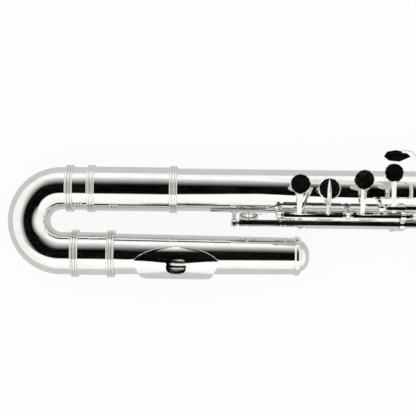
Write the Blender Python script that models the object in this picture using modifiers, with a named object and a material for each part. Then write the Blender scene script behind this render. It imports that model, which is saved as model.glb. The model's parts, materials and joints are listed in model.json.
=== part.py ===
"""Alto flute with a curved head, lying keys up. Metres, +Z up.

The flute frame has its X axis along the body tube, its X zero at the middle of the U-bend,
+Y on the side away from the player and +Z on the side of the keys.
Places round a tube are given by an angle from +Z, positive towards +Y.
"""
import math

import bmesh
import bpy
from mathutils import Matrix, Vector

# Body and foot tubes
BODY_RADIUS = 0.0135
BORE_RADIUS = 0.0130
TENON_RADIUS = 0.0131
TENON_BORE_RADIUS = 0.0126
SLEEVE_RADIUS = 0.01405
BODY_SHOULDER_X = 0.0740
BODY_END_X = 0.5018
FOOT_END_X = 0.6771
FOOT_TENON_LENGTH = 0.0130
BODY_NECK_LENGTH = 0.0142

# Head joint
HEAD_SPACING = 0.0415
BEND_UPPER_END_X = 0.0052
BEND_LOWER_END_X = 0.0089
BARREL_START_X = 0.0167
HEAD_TENON_RADIUS = 0.0136
HEAD_TENON_WALL = 0.0005
SOCKET_END_X = 0.0340
HEAD_TUBE_WALL = 0.0005
HEAD_INSERT_LENGTH = 0.0220
HEAD_RADIUS_AT_SOCKET = 0.0130
HEAD_RADIUS_AT_CROWN = 0.01165
CROWN_X = 0.1483
CROWN_LENGTH = 0.0099
CROWN_RADIUS = 0.0125
STOPPER_FACE_X = 0.0946
CORK_LENGTH = 0.0110
STOPPER_ROD_RADIUS = 0.0020

# Embouchure
EMBOUCHURE_X = 0.0736
EMBOUCHURE_ANGLE = math.radians(-25)
EMBOUCHURE_LENGTH = 0.0128
EMBOUCHURE_WIDTH = 0.0115
RISER_WALL = 0.0012
LIP_PLATE_RADIUS = 0.0168
LIP_PLATE_THICKNESS = 0.0008
LIP_PLATE_LENGTH = 0.0536
LIP_PLATE_NEAR_REACH = 0.0108
LIP_PLATE_FAR_REACH = 0.0115

# Rings
RING_RADIUS = 0.01525
RING_WIDTH = 0.0050
NARROW_RING_WIDTH = 0.0040

# Tone holes
CHIMNEY_RADIUS = 0.0163
CHIMNEY_WALL = 0.0006
KEY_LINE = math.radians(7)
MAIN_HOLE_RADIUS = 0.0086
SMALL_HOLE_RADIUS = 0.0052
TRILL_HOLE_RADIUS = 0.0042
THUMB_HOLE_RADIUS = 0.0067
TRILL_ANGLE = math.radians(-112)
THUMB_ANGLE = math.radians(-108)
G_SHARP_ANGLE = math.radians(100)
C_SHARP_X = 0.1684
D_SHARP_TRILL_X = 0.1194
D_TRILL_X = 0.1435
THUMB_X = 0.2262
B_FLAT_X = 0.2524
A_X = 0.2802
G_UPPER_X = 0.3097
G_LOWER_X = 0.3409
F_SHARP_X = 0.3741
F_X = 0.4091
E_X = 0.4463
D_X = 0.4857
E_FLAT_X = 0.5274
LOW_C_SHARP_X = 0.5716
LOW_C_X = 0.6185

# Key cups, pads and touches
CUP_OVERHANG = 0.0019
CUP_HEIGHT = 0.0030
CUP_WALL = 0.0006
CUP_TOP_THICKNESS = 0.0007
PAD_STAND_OUT = 0.0006
TOUCH_RADIUS = 0.0065
TOUCH_THICKNESS = 0.0014

# Rods, key tubes and posts
STEEL_RADIUS = 0.0010
KEY_TUBE_RADIUS = 0.0021
POST_BALL_RADIUS = 0.0027
WIDE_POST_BALL_RADIUS = 0.0037
POST_STEM_RADIUS = 0.0012
POST_FOOT_RADIUS = 0.0022
POST_FOOT_HEIGHT = 0.0009
RIB_THICKNESS = 0.0009
CLEARANCE = 0.0003
SOLDER_DEPTH = 0.00025
END_PLAY = 0.0004

# Rods as places across the tube, and the posts along them
MAIN_ROD = Vector((0, -0.0152, 0.0133))
UPPER_ROD = Vector((0, -0.0101, 0.0260))
LOWER_ROD = Vector((0, -0.0206, 0.0080))
THUMB_ROD = Vector((0, -0.0216, 0.0022))
FAR_ROD = Vector((0, 0.0182, 0.0105))
MAIN_POSTS_X = (0.1378, 0.1809, 0.2229, 0.2960, 0.3570, 0.4945)
UPPER_POSTS_X = (0.2004, 0.3520)
LOWER_POST_X = 0.1098
LOWER_WIDE_POSTS_X = (0.3010, 0.3920)
LOWER_LAST_POST_X = 0.4745
THUMB_POST_X = 0.1520
BRIDGE_X = 0.2155
BRIDGE_THICKNESS = 0.0030
FAR_POSTS_X = (0.2890, 0.3545)
FOOT_POSTS_X = (0.5180, 0.6400)

# Ways that the keys stand open
MAIN_OPENING = math.radians(7.5)
G_OPENING = math.radians(9)
THUMB_OPENING = math.radians(10)
SPRUNG_REST = 0.0

# Roundness of the solids
TUBE_SIDES = 20
CUP_SIDES = 12
ROD_SIDES = 6

SILVER = ((0.90, 0.89, 0.87, 1), 0.08, 1.0)
STEEL = ((0.62, 0.62, 0.63, 1), 0.22, 1.0)
GOLD = ((0.83, 0.62, 0.22, 1), 0.18, 1.0)
CORK = ((0.56, 0.36, 0.20, 1), 0.85, 0.0)
FELT = ((0.88, 0.82, 0.68, 1), 0.80, 0.0)


def clear_scene():
    for item in list(bpy.data.objects):
        bpy.data.objects.remove(item, do_unlink=True)


def make_collection(name):
    collection = bpy.data.collections.new(name)
    bpy.context.scene.collection.children.link(collection)
    return collection


def make_material(name, look):
    colour, roughness, metallic = look
    material = bpy.data.materials.new(name)
    material.use_nodes = True
    shader = material.node_tree.nodes["Principled BSDF"]
    shader.inputs["Base Color"].default_value = colour
    shader.inputs["Roughness"].default_value = roughness
    shader.inputs["Metallic"].default_value = metallic
    return material


clear_scene()
parts = make_collection("alto_flute")
cutters = make_collection("alto_flute_cutters")
flute_axis = bpy.data.objects.new("flute_axis", None)
parts.objects.link(flute_axis)


# Shapes. Each function gives a mesh in the flute frame.

def ring_place(x, angle, radius, centre_y=0.0):
    """A frame at an angle round a tube, with its Z outward and its X along the tube."""
    outward = Vector((0, math.sin(angle), math.cos(angle))) * radius
    spot = Vector((x, centre_y, 0)) + outward
    return Matrix.Translation(spot) @ Matrix.Rotation(-angle, 4, "X")


def along_x(centre_y=0.0, centre_z=0.0):
    """A frame that lays a turned shape's axis along X."""
    return Matrix.Translation((0, centre_y, centre_z)) @ Matrix.Rotation(math.pi / 2, 4, "Y")


def evaluated(item):
    """The finished mesh of an object that is needed only for its shape."""
    graph = bpy.context.evaluated_depsgraph_get()
    mesh = bpy.data.meshes.new_from_object(item.evaluated_get(graph))
    mesh.transform(item.matrix_world)
    bpy.data.objects.remove(item, do_unlink=True)
    return mesh


def welded(mesh):
    shape = bmesh.new()
    shape.from_mesh(mesh)
    bmesh.ops.remove_doubles(shape, verts=shape.verts, dist=0.000001)
    bmesh.ops.recalc_face_normals(shape, faces=shape.faces)
    shape.to_mesh(mesh)
    shape.free()
    return mesh


def turned(profile, place, sides, ring=False):
    """A turned shape from (radius, height) points that run down its outer side."""
    outline = bpy.data.meshes.new("profile")
    edges = [(index, index + 1) for index in range(len(profile) - 1)]
    if ring:
        edges.append((len(profile) - 1, 0))
    outline.from_pydata([(radius, 0, height) for radius, height in profile], edges, [])
    item = bpy.data.objects.new("profile", outline)
    cutters.objects.link(item)
    screw = item.modifiers.new("turn", "SCREW")
    screw.axis = "Z"
    screw.steps = sides
    screw.render_steps = sides
    screw.use_merge_vertices = True
    screw.merge_threshold = 0.00001
    bpy.context.view_layer.update()
    mesh = evaluated(item)
    mesh.transform(place)
    return welded(mesh)


def tube_along_x(outer, inner, centre_y=0.0):
    """A tube from its outer and inner profiles, each a list of (radius, x) from left to right."""
    profile = [*reversed(outer), *inner]
    return turned(profile, along_x(centre_y), TUBE_SIDES, ring=True)


def strut(start, end, radius, end_radius=None, sides=ROD_SIDES):
    """A round bar between two points, tapered when an end radius is given."""
    start = Vector(start)
    reach = Vector(end) - start
    shape = bmesh.new()
    bmesh.ops.create_cone(
        shape,
        cap_ends=True,
        segments=sides,
        radius1=radius,
        radius2=radius if end_radius is None else end_radius,
        depth=reach.length,
    )
    turn = Vector((0, 0, 1)).rotation_difference(reach).to_matrix().to_4x4()
    shape.transform(Matrix.Translation(start + reach / 2) @ turn)
    mesh = bpy.data.meshes.new("strut")
    shape.to_mesh(mesh)
    shape.free()
    return mesh


def bar_along_x(rod, start_x, end_x, radius, sides=ROD_SIDES):
    return strut((start_x, rod.y, rod.z), (end_x, rod.y, rod.z), radius, sides=sides)


def box(low, high):
    low = Vector(low)
    high = Vector(high)
    shape = bmesh.new()
    bmesh.ops.create_cube(shape, size=1)
    shape.transform(Matrix.Translation((low + high) / 2) @ Matrix.Diagonal((*(high - low), 1)))
    mesh = bpy.data.meshes.new("box")
    shape.to_mesh(mesh)
    shape.free()
    return mesh


def wire(points, widths, resolution=0):
    """A bent arm or wire through points, with a radius at each."""
    curve = bpy.data.curves.new("wire", "CURVE")
    curve.dimensions = "3D"
    curve.bevel_depth = 1.0
    curve.bevel_resolution = resolution
    curve.use_fill_caps = True
    spline = curve.splines.new("POLY")
    spline.points.add(len(points) - 1)
    for point, spot, width in zip(spline.points, points, widths):
        point.co = (*spot, 1)
        point.radius = width
    item = bpy.data.objects.new("wire", curve)
    cutters.objects.link(item)
    bpy.context.view_layer.update()
    return welded(evaluated(item))


def prism(outline, low, high, place):
    """A flat outline with thickness from low to high along the place's Z."""
    curve = bpy.data.curves.new("outline", "CURVE")
    curve.dimensions = "2D"
    curve.fill_mode = "BOTH"
    curve.extrude = (high - low) / 2
    spline = curve.splines.new("POLY")
    spline.points.add(len(outline) - 1)
    for point, spot in zip(spline.points, outline):
        point.co = (*spot, 0, 1)
    spline.use_cyclic_u = True
    item = bpy.data.objects.new("outline", curve)
    cutters.objects.link(item)
    item.location.z = (low + high) / 2
    bpy.context.view_layer.update()
    mesh = evaluated(item)
    mesh.transform(place)
    return welded(mesh)


def oval(length, width, count=16, squareness=2.6):
    """Points round an oval that is a little squarer than an ellipse."""
    points = []
    for step in range(count):
        turn = 2 * math.pi * step / count
        across = math.copysign(abs(math.cos(turn)) ** (2 / squareness), math.cos(turn))
        along = math.copysign(abs(math.sin(turn)) ** (2 / squareness), math.sin(turn))
        points.append((across * length / 2, along * width / 2))
    return points


# Nodes

def as_object(name, mesh, look, origin=Vector((0, 0, 0)), parent=None):
    """A named part with its origin at a point of the flute frame."""
    mesh.transform(Matrix.Translation(-origin))
    item = bpy.data.objects.new(name, mesh)
    mesh.name = name
    mesh.materials.clear()
    mesh.materials.append(make_material(name + "_finish", look))
    mesh.shade_smooth()
    mesh.set_sharp_from_angle(angle=math.radians(35))
    parts.objects.link(item)
    item.parent = parent or flute_axis
    if parent is None:
        item.location = origin
    return item


def combined(base, tool, operation):
    """The mesh of a Boolean between two meshes."""
    first = bpy.data.objects.new("first", base)
    second = bpy.data.objects.new("second", tool)
    cutters.objects.link(first)
    cutters.objects.link(second)
    second.hide_render = True
    second.display_type = "WIRE"
    step = first.modifiers.new("step", "BOOLEAN")
    step.solver = "EXACT"
    step.operation = operation
    step.object = second
    bpy.context.view_layer.update()
    mesh = welded(evaluated(first))
    bpy.data.objects.remove(second, do_unlink=True)
    return mesh


def fused(solids, cuts=(), keeps=()):
    """One closed body from solids that overlap, less the cuts, inside the keeps."""
    mesh = solids[0]
    for solid in solids[1:]:
        mesh = combined(mesh, solid, "UNION")
    for cut in cuts:
        mesh = combined(mesh, cut, "DIFFERENCE")
    for keep in keeps:
        mesh = combined(mesh, keep, "INTERSECT")
    return mesh


def grouped(meshes):
    """Separate solids that share one node."""
    shape = bmesh.new()
    for mesh in meshes:
        shape.from_mesh(mesh)
    mesh = bpy.data.meshes.new("group")
    shape.to_mesh(mesh)
    shape.free()
    return mesh


# Tubes and rings

def ring_mesh(x, seat, step_x=None, step_bore=None, width=RING_WIDTH, centre_y=0.0):
    """A ring soldered on a tube of the seat's radius, with a wider bore from step_x if given."""
    bore = seat - SOLDER_DEPTH
    shoulder = RING_RADIUS - 0.0006
    low = x - width / 2
    high = x + width / 2
    outer = [(shoulder, low), (RING_RADIUS, x - width / 4), (RING_RADIUS, x + width / 4)]
    outer.append((shoulder, high))
    inner = [(bore, low), (bore, high)]
    if step_x is not None and step_bore > 0:
        inner = [(bore, low), (bore, step_x), (step_bore, step_x), (step_bore, high)]
    elif step_x is not None:
        inner = [(-step_bore, low), (-step_bore, step_x), (bore, step_x), (bore, high)]
    mesh = tube_along_x(outer, inner)
    mesh.transform(Matrix.Rotation(math.pi / TUBE_SIDES, 4, "X"))
    mesh.transform(Matrix.Translation((0, centre_y, 0)))
    return mesh


def build_bend():
    radius = HEAD_SPACING / 2
    points = [(BEND_UPPER_END_X - CLEARANCE / 2, 0, 0)]
    for step in range(11):
        turn = math.pi * step / 10
        points.append((-radius * math.sin(turn), -radius + radius * math.cos(turn), 0))
    points.append((BEND_LOWER_END_X - CLEARANCE / 2, -HEAD_SPACING, 0))
    curve = bpy.data.curves.new("bend", "CURVE")
    curve.dimensions = "3D"
    curve.bevel_depth = BODY_RADIUS
    curve.bevel_resolution = 8
    spline = curve.splines.new("POLY")
    spline.points.add(len(points) - 1)
    for point, spot in zip(spline.points, points):
        point.co = (*spot, 1)
    skin = bpy.data.objects.new("bend", curve)
    cutters.objects.link(skin)
    bpy.context.view_layer.update()
    shell = bpy.data.objects.new("bend_shell", welded(evaluated(skin)))
    cutters.objects.link(shell)
    wall = shell.modifiers.new("wall", "SOLIDIFY")
    wall.thickness = BODY_RADIUS - BORE_RADIUS
    wall.offset = -1
    bpy.context.view_layer.update()
    tube = welded(evaluated(shell))
    wide = HEAD_TENON_RADIUS + CLEARANCE
    ring = ring_mesh(BEND_UPPER_END_X, BODY_RADIUS, points[0][0] - 0.0001, wide)
    as_object("head_bend", fused([tube, ring]), SILVER)


def build_head_tenon():
    start = BEND_UPPER_END_X + CLEARANCE / 2
    step = BARREL_START_X - CLEARANCE
    end = BODY_SHOULDER_X - BODY_NECK_LENGTH - CLEARANCE
    bore = TENON_RADIUS - HEAD_TENON_WALL
    outer = [(HEAD_TENON_RADIUS, start), (HEAD_TENON_RADIUS, step), (TENON_RADIUS, step)]
    outer.append((TENON_RADIUS, end))
    as_object("head_tenon", tube_along_x(outer, [(bore, start), (bore, end)]), SILVER)


def build_barrel():
    bore = TENON_RADIUS + CLEARANCE
    start = BARREL_START_X
    end = BODY_SHOULDER_X - CLEARANCE
    outer = [(SLEEVE_RADIUS, start), (SLEEVE_RADIUS, end)]
    tube = tube_along_x(outer, [(bore, start), (bore, end)])
    rings = [ring_mesh(x, SLEEVE_RADIUS) for x in (start + 0.0022, end - 0.0026)]
    as_object("barrel", fused([tube, *rings]), SILVER)


def build_socket():
    start = BEND_LOWER_END_X + CLEARANCE / 2
    bore = HEAD_TENON_RADIUS - HEAD_TENON_WALL
    outer = [(HEAD_TENON_RADIUS, start), (HEAD_TENON_RADIUS, SOCKET_END_X)]
    inner = [(bore, start), (bore, SOCKET_END_X)]
    tube = tube_along_x(outer, inner, -HEAD_SPACING)
    wide = HEAD_TENON_RADIUS + CLEARANCE
    rings = [
        ring_mesh(BEND_LOWER_END_X, HEAD_TENON_RADIUS, start + 0.0001, -wide, centre_y=-HEAD_SPACING),
        ring_mesh(SOCKET_END_X - 0.0022, HEAD_TENON_RADIUS, centre_y=-HEAD_SPACING),
    ]
    as_object("embouchure_socket", fused([tube, *rings]), SILVER)


def head_radius(x):
    """The embouchure tube narrows evenly from its socket to the crown."""
    start = SOCKET_END_X + CLEARANCE
    share = (x - start) / (CROWN_X - start)
    return HEAD_RADIUS_AT_SOCKET + (HEAD_RADIUS_AT_CROWN - HEAD_RADIUS_AT_SOCKET) * share


def embouchure_prism(length, width, low, high):
    place = ring_place(EMBOUCHURE_X, EMBOUCHURE_ANGLE, 0, -HEAD_SPACING)
    return prism(oval(length, width), low, high, place)


def build_embouchure_tube():
    insert = HEAD_TENON_RADIUS - HEAD_TENON_WALL - CLEARANCE
    start = SOCKET_END_X - HEAD_INSERT_LENGTH
    shoulder = SOCKET_END_X + CLEARANCE
    end = CROWN_X - CLEARANCE
    outer = [(insert, start), (insert, shoulder), (head_radius(shoulder), shoulder)]
    outer.append((head_radius(end), end))
    bore = insert - HEAD_TUBE_WALL
    inner = [(bore, start), (bore, shoulder), (head_radius(end) - HEAD_TUBE_WALL, end)]
    tube = tube_along_x(outer, inner, -HEAD_SPACING)
    hole = embouchure_prism(EMBOUCHURE_LENGTH, EMBOUCHURE_WIDTH, 0.005, 0.020)
    as_object("embouchure_tube", fused([tube], [hole]), SILVER)


def build_lip_plate():
    half = LIP_PLATE_LENGTH / 2
    corner = 0.0050
    arch_base = 0.0020
    outline = []
    for step in range(13):
        turn = math.pi * step / 12
        rise = (LIP_PLATE_FAR_REACH - arch_base) * math.sin(turn)
        outline.append((half * math.cos(turn), arch_base + rise))
    for side in (-1, 1):
        for step in range(4):
            turn = math.pi / 2 * (step if side < 0 else 3 - step) / 3
            x = half - 0.0035 - corner + corner * math.cos(turn)
            outline.append((side * x, -LIP_PLATE_NEAR_REACH + corner - corner * math.sin(turn)))
    inner = LIP_PLATE_RADIUS - LIP_PLATE_THICKNESS
    ends = (EMBOUCHURE_X - half - 0.001, EMBOUCHURE_X + half + 0.001)
    band = tube_along_x(
        [(LIP_PLATE_RADIUS, ends[0]), (LIP_PLATE_RADIUS, ends[1])],
        [(inner, ends[0]), (inner, ends[1])],
        -HEAD_SPACING,
    )
    place = ring_place(EMBOUCHURE_X, EMBOUCHURE_ANGLE, 0, -HEAD_SPACING)
    plate = prism(outline, 0.004, 0.020, place)
    hole = embouchure_prism(EMBOUCHURE_LENGTH, EMBOUCHURE_WIDTH, 0.003, 0.021)
    as_object("lip_plate", fused([band], [hole], [plate]), SILVER)


def build_riser():
    wide = 2 * RISER_WALL
    block = embouchure_prism(EMBOUCHURE_LENGTH + wide, EMBOUCHURE_WIDTH + wide, 0.007, 0.020)
    hole = embouchure_prism(EMBOUCHURE_LENGTH, EMBOUCHURE_WIDTH, 0.006, 0.021)
    reach = EMBOUCHURE_LENGTH
    ends = (EMBOUCHURE_X - reach, EMBOUCHURE_X + reach)
    under = [(0, ends[1])] + [(head_radius(x) + CLEARANCE, x) for x in reversed(ends)] + [(0, ends[0])]
    over_radius = LIP_PLATE_RADIUS - LIP_PLATE_THICKNESS - CLEARANCE
    over = [(0, ends[1]), (over_radius, ends[1]), (over_radius, ends[0]), (0, ends[0])]
    lower = turned(under, along_x(-HEAD_SPACING), TUBE_SIDES)
    upper = turned(over, along_x(-HEAD_SPACING), TUBE_SIDES)
    as_object("embouchure_riser", fused([block], [hole, lower], [upper]), SILVER)


def build_crown():
    plug = HEAD_RADIUS_AT_CROWN - HEAD_TUBE_WALL - CLEARANCE
    plug_start = CROWN_X - 0.0063
    bead_end = CROWN_X + 0.0040
    tip = CROWN_X + CROWN_LENGTH
    bore = STOPPER_ROD_RADIUS + CLEARANCE
    bore_end = CROWN_X + 0.0020
    dome_radius = CROWN_RADIUS - 0.0028
    profile = [(0, tip)]
    for step in range(1, 6):
        turn = math.pi / 2 * step / 5
        height = (tip - bead_end) * math.cos(turn)
        profile.append((dome_radius * math.sin(turn), bead_end + height))
    profile += [(CROWN_RADIUS - 0.0010, bead_end), (CROWN_RADIUS, bead_end - 0.0012)]
    profile += [(CROWN_RADIUS, CROWN_X + 0.0010), (CROWN_RADIUS - 0.0008, CROWN_X)]
    profile += [(plug, CROWN_X), (plug, plug_start), (bore, plug_start), (bore, bore_end)]
    profile.append((0, bore_end))
    origin = Vector((CROWN_X, -HEAD_SPACING, 0))
    mesh = turned(profile, along_x(-HEAD_SPACING), TUBE_SIDES)
    as_object("crown", mesh, SILVER, origin)


def build_stopper():
    cork_start = STOPPER_FACE_X + 0.0012 + CLEARANCE
    cork_end = cork_start + CORK_LENGTH
    washer_start = cork_end + CLEARANCE
    washer_end = washer_start + 0.0012
    cork_radius = head_radius(cork_end) - HEAD_TUBE_WALL - CLEARANCE
    plate = head_radius(cork_end) - HEAD_TUBE_WALL - 2 * CLEARANCE
    bore = STOPPER_ROD_RADIUS + CLEARANCE
    rod_end = CROWN_X + 0.0010
    rod_profile = [(0, rod_end), (STOPPER_ROD_RADIUS, rod_end)]
    rod_profile += [(STOPPER_ROD_RADIUS, cork_start - CLEARANCE), (plate, cork_start - CLEARANCE)]
    rod_profile += [(plate, STOPPER_FACE_X), (0, STOPPER_FACE_X)]
    as_object("stopper_rod", turned(rod_profile, along_x(-HEAD_SPACING), 16), STEEL)
    cork = tube_along_x(
        [(cork_radius, cork_start), (cork_radius, cork_end)],
        [(bore, cork_start), (bore, cork_end)],
        -HEAD_SPACING,
    )
    as_object("stopper_cork", cork, CORK)
    washer = tube_along_x(
        [(plate, washer_start), (plate, washer_end)],
        [(bore, washer_start), (bore, washer_end)],
        -HEAD_SPACING,
    )
    as_object("stopper_washer", washer, STEEL)


# Tone holes as (x, angle, bore radius)
BODY_HOLES = [
    (D_SHARP_TRILL_X, TRILL_ANGLE, TRILL_HOLE_RADIUS),
    (D_TRILL_X, TRILL_ANGLE, TRILL_HOLE_RADIUS),
    (C_SHARP_X, KEY_LINE, SMALL_HOLE_RADIUS),
    (THUMB_X, THUMB_ANGLE, THUMB_HOLE_RADIUS),
    (B_FLAT_X, KEY_LINE, MAIN_HOLE_RADIUS),
    (A_X, KEY_LINE, MAIN_HOLE_RADIUS),
    (G_UPPER_X, KEY_LINE, MAIN_HOLE_RADIUS),
    (G_LOWER_X, KEY_LINE, MAIN_HOLE_RADIUS),
    (G_LOWER_X, G_SHARP_ANGLE, MAIN_HOLE_RADIUS),
    (F_SHARP_X, KEY_LINE, MAIN_HOLE_RADIUS),
    (F_X, KEY_LINE, MAIN_HOLE_RADIUS),
    (E_X, KEY_LINE, MAIN_HOLE_RADIUS),
    (D_X, KEY_LINE, MAIN_HOLE_RADIUS),
]
FOOT_HOLES = [
    (E_FLAT_X, KEY_LINE, MAIN_HOLE_RADIUS),
    (LOW_C_SHARP_X, KEY_LINE, MAIN_HOLE_RADIUS),
    (LOW_C_X, KEY_LINE, MAIN_HOLE_RADIUS),
]


def chimneys(holes, extra, low, high):
    """Round plugs that stand out of a tube at its tone holes."""
    plugs = []
    for x, angle, radius in holes:
        plug = strut((0, 0, low), (0, 0, high), radius + extra, sides=CUP_SIDES)
        plug.transform(ring_place(x, angle, 0))
        plugs.append(plug)
    return grouped(plugs)


def tube_with_holes(outer, inner, holes, soldered):
    """A tube whose tone-hole chimneys are drawn out of its wall."""
    inset = MAIN_HOLE_RADIUS + CHIMNEY_WALL + 0.0003
    solid = [(0, outer[-1][1]), *reversed(outer), (0, outer[0][1])]
    skin = turned(solid, along_x(), TUBE_SIDES)
    overrun = 0.002
    bore = [(0, inner[-1][1] + overrun), (inner[-1][0], inner[-1][1] + overrun)]
    bore += list(reversed(inner[1:-1]))
    bore += [(inner[0][0], inner[0][1] - overrun), (0, inner[0][1] - overrun)]
    core = turned(bore, along_x(), TUBE_SIDES)
    standing = chimneys(holes, CHIMNEY_WALL, inset, CHIMNEY_RADIUS)
    drilled = chimneys(holes, 0, inset - 0.0005, CHIMNEY_RADIUS + 0.001)
    return fused([skin, standing, *soldered], [drilled, core])


def build_body_tube():
    start = BODY_SHOULDER_X - BODY_NECK_LENGTH
    neck = BODY_SHOULDER_X
    end = BODY_END_X
    tenon = end + FOOT_TENON_LENGTH
    outer = [(TENON_RADIUS, start), (TENON_RADIUS, neck), (BODY_RADIUS, neck)]
    outer += [(BODY_RADIUS, end), (TENON_RADIUS, end), (TENON_RADIUS, tenon)]
    inner = [(TENON_BORE_RADIUS, start), (TENON_BORE_RADIUS, neck), (BORE_RADIUS, neck + 0.0005)]
    inner += [(BORE_RADIUS, end - 0.0005), (TENON_BORE_RADIUS, end), (TENON_BORE_RADIUS, tenon)]
    seat = BODY_RADIUS - SOLDER_DEPTH
    soldered = [ring_mesh(BODY_END_X - 0.0022, BODY_RADIUS, width=NARROW_RING_WIDTH)]
    soldered += [post_mesh(x, UPPER_ROD, seat) for x in UPPER_POSTS_X]
    soldered += [post_mesh(x, FAR_ROD, seat) for x in FAR_POSTS_X]
    soldered.append(post_mesh(THUMB_POST_X, THUMB_ROD, seat))
    as_object("body_tube", tube_with_holes(outer, inner, BODY_HOLES, soldered), SILVER)


def build_foot_tube():
    start = BODY_END_X + CLEARANCE
    step = BODY_END_X + FOOT_TENON_LENGTH + CLEARANCE
    end = FOOT_END_X - CLEARANCE
    socket = TENON_RADIUS + CLEARANCE
    outer = [(SLEEVE_RADIUS, start), (SLEEVE_RADIUS, step), (BODY_RADIUS, step + 0.0005)]
    outer.append((BODY_RADIUS, end))
    inner = [(socket, start), (socket, step), (BORE_RADIUS, step), (BORE_RADIUS, end)]
    ring = ring_mesh(start + 0.0023, SLEEVE_RADIUS, width=NARROW_RING_WIDTH)
    as_object("foot_tube", tube_with_holes(outer, inner, FOOT_HOLES, [ring]), SILVER)
    end_bore = BODY_RADIUS + CLEARANCE
    bottom = [(end_bore, FOOT_END_X - RING_WIDTH), (RING_RADIUS - 0.0006, FOOT_END_X - RING_WIDTH)]
    bottom += [(RING_RADIUS, FOOT_END_X - 0.7 * RING_WIDTH), (RING_RADIUS, FOOT_END_X - 0.0004)]
    bottom.append((RING_RADIUS - 0.0002, FOOT_END_X))
    as_object("foot_end_ring", tube_along_x(bottom, [(end_bore, FOOT_END_X)]), SILVER)


# Ribs and posts

RIB_TOP = BODY_RADIUS + CLEARANCE + RIB_THICKNESS


def rib_mesh(outline, angle):
    """A strip on the tube, cut from a thin sleeve by an outline of (x, sideways) points."""
    xs = [x for x, _ in outline]
    ends = (min(xs) - 0.001, max(xs) + 0.001)
    sleeve = tube_along_x(
        [(RIB_TOP, ends[0]), (RIB_TOP, ends[1])],
        [(BODY_RADIUS + CLEARANCE, ends[0]), (BODY_RADIUS + CLEARANCE, ends[1])],
    )
    knife = prism(outline, 0.004, 0.018, ring_place(0, angle, 0))
    return fused([sleeve], keeps=[knife])


def build_ribs():
    """Long ribs with pointed ends carry the posts, soldered along the tube."""
    main_angle = math.atan2(MAIN_ROD.y, MAIN_ROD.z)
    half = 0.0023
    start = MAIN_POSTS_X[0] - 0.0080
    end = MAIN_POSTS_X[-1] + 0.0030
    outline = [(start, -half), (start + 0.0090, half), (end, half), (end, -half)]
    seat = RIB_TOP - 1.5 * SOLDER_DEPTH
    posts = [post_mesh(x, MAIN_ROD, seat) for x in MAIN_POSTS_X]
    as_object("main_rib", fused([rib_mesh(outline, main_angle), *posts]), SILVER)
    lower_angle = math.radians(-70.3)
    low_start = LOWER_POST_X - 0.0150
    low_end = LOWER_LAST_POST_X + 0.0030
    narrow = [(low_start, 0.0), (low_start + 0.0120, 0.0020), (low_end, 0.0020)]
    narrow += [(low_end, -0.0009), (D_TRILL_X + 0.010, -0.0009), (low_start + 0.0120, -0.0012)]
    posts = [post_mesh(x, LOWER_ROD, seat) for x in (LOWER_POST_X, LOWER_LAST_POST_X)]
    wide_hole = KEY_TUBE_RADIUS + CLEARANCE
    for x in LOWER_WIDE_POSTS_X:
        posts.append(post_mesh(x, LOWER_ROD, seat, WIDE_POST_BALL_RADIUS, wide_hole))
    as_object("lower_rib", fused([rib_mesh(narrow, lower_angle), *posts]), SILVER)
    foot_start = FOOT_POSTS_X[0] - 0.0022
    foot_end = FOOT_POSTS_X[1] + 0.0070
    foot = [(foot_start, -half), (foot_start, half), (foot_end, half), (foot_end - 0.004, -half)]
    posts = [post_mesh(x, MAIN_ROD, seat) for x in FOOT_POSTS_X]
    as_object("foot_rib", fused([rib_mesh(foot, main_angle), *posts]), SILVER)


def post_mesh(x, rod, base_radius, ball_radius=POST_BALL_RADIUS, hole=STEEL_RADIUS + CLEARANCE):
    """A turned post: foot, stem and a ball that the rod passes through."""
    angle = math.atan2(rod.y, rod.z)
    reach = math.hypot(rod.y, rod.z)
    neck = ball_radius * 0.5
    stem_top = reach - ball_radius * 0.86
    foot_top = base_radius + POST_FOOT_HEIGHT
    profile = [(0, reach + ball_radius), (ball_radius * 0.7, reach + ball_radius * 0.7)]
    profile += [(ball_radius, reach), (ball_radius * 0.8, reach - ball_radius * 0.6)]
    profile += [(neck, stem_top), (POST_STEM_RADIUS, foot_top + 0.0005)]
    profile += [(POST_FOOT_RADIUS, foot_top), (POST_FOOT_RADIUS, base_radius), (0, base_radius)]
    solid = turned(profile, ring_place(x, angle, 0), ROD_SIDES)
    bore = bar_along_x(rod, x - 0.006, x + 0.006, hole)
    return fused([solid], [bore])


def build_bridge():
    """An upright plate that holds the lower and thumb rods and clears the main one."""
    low = BRIDGE_X - BRIDGE_THICKNESS / 2
    high = BRIDGE_X + BRIDGE_THICKNESS / 2
    wide_hole = KEY_TUBE_RADIUS + CLEARANCE
    bosses = [
        bar_along_x(MAIN_ROD, low, high, wide_hole + 0.0010, 12),
        bar_along_x(LOWER_ROD, low + 0.0001, high - 0.0001, wide_hole + 0.0012, 12),
        bar_along_x(THUMB_ROD, low, high, 0.0028, 12),
    ]
    foot_angle = math.radians(-70)
    web = box((low + 0.0004, -0.0012, RIB_TOP + CLEARANCE), (high - 0.0004, 0.0012, 0.0205))
    web.transform(Matrix.Rotation(-foot_angle, 4, "X"))
    strap = strut((BRIDGE_X, -0.0170, 0.0125), (BRIDGE_X, -0.0200, 0.0100), 0.0012)
    link = strut((BRIDGE_X, -0.0208, 0.0060), (BRIDGE_X, -0.0215, 0.0040), 0.0012)
    holes = [
        bar_along_x(MAIN_ROD, low - 0.001, high + 0.001, wide_hole, 12),
        bar_along_x(LOWER_ROD, low - 0.001, high + 0.001, wide_hole, 12),
        bar_along_x(THUMB_ROD, low - 0.001, high + 0.001, STEEL_RADIUS + CLEARANCE),
    ]
    as_object("bridge_post", fused([*bosses, web, strap, link], holes), SILVER)


# Keys

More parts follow.
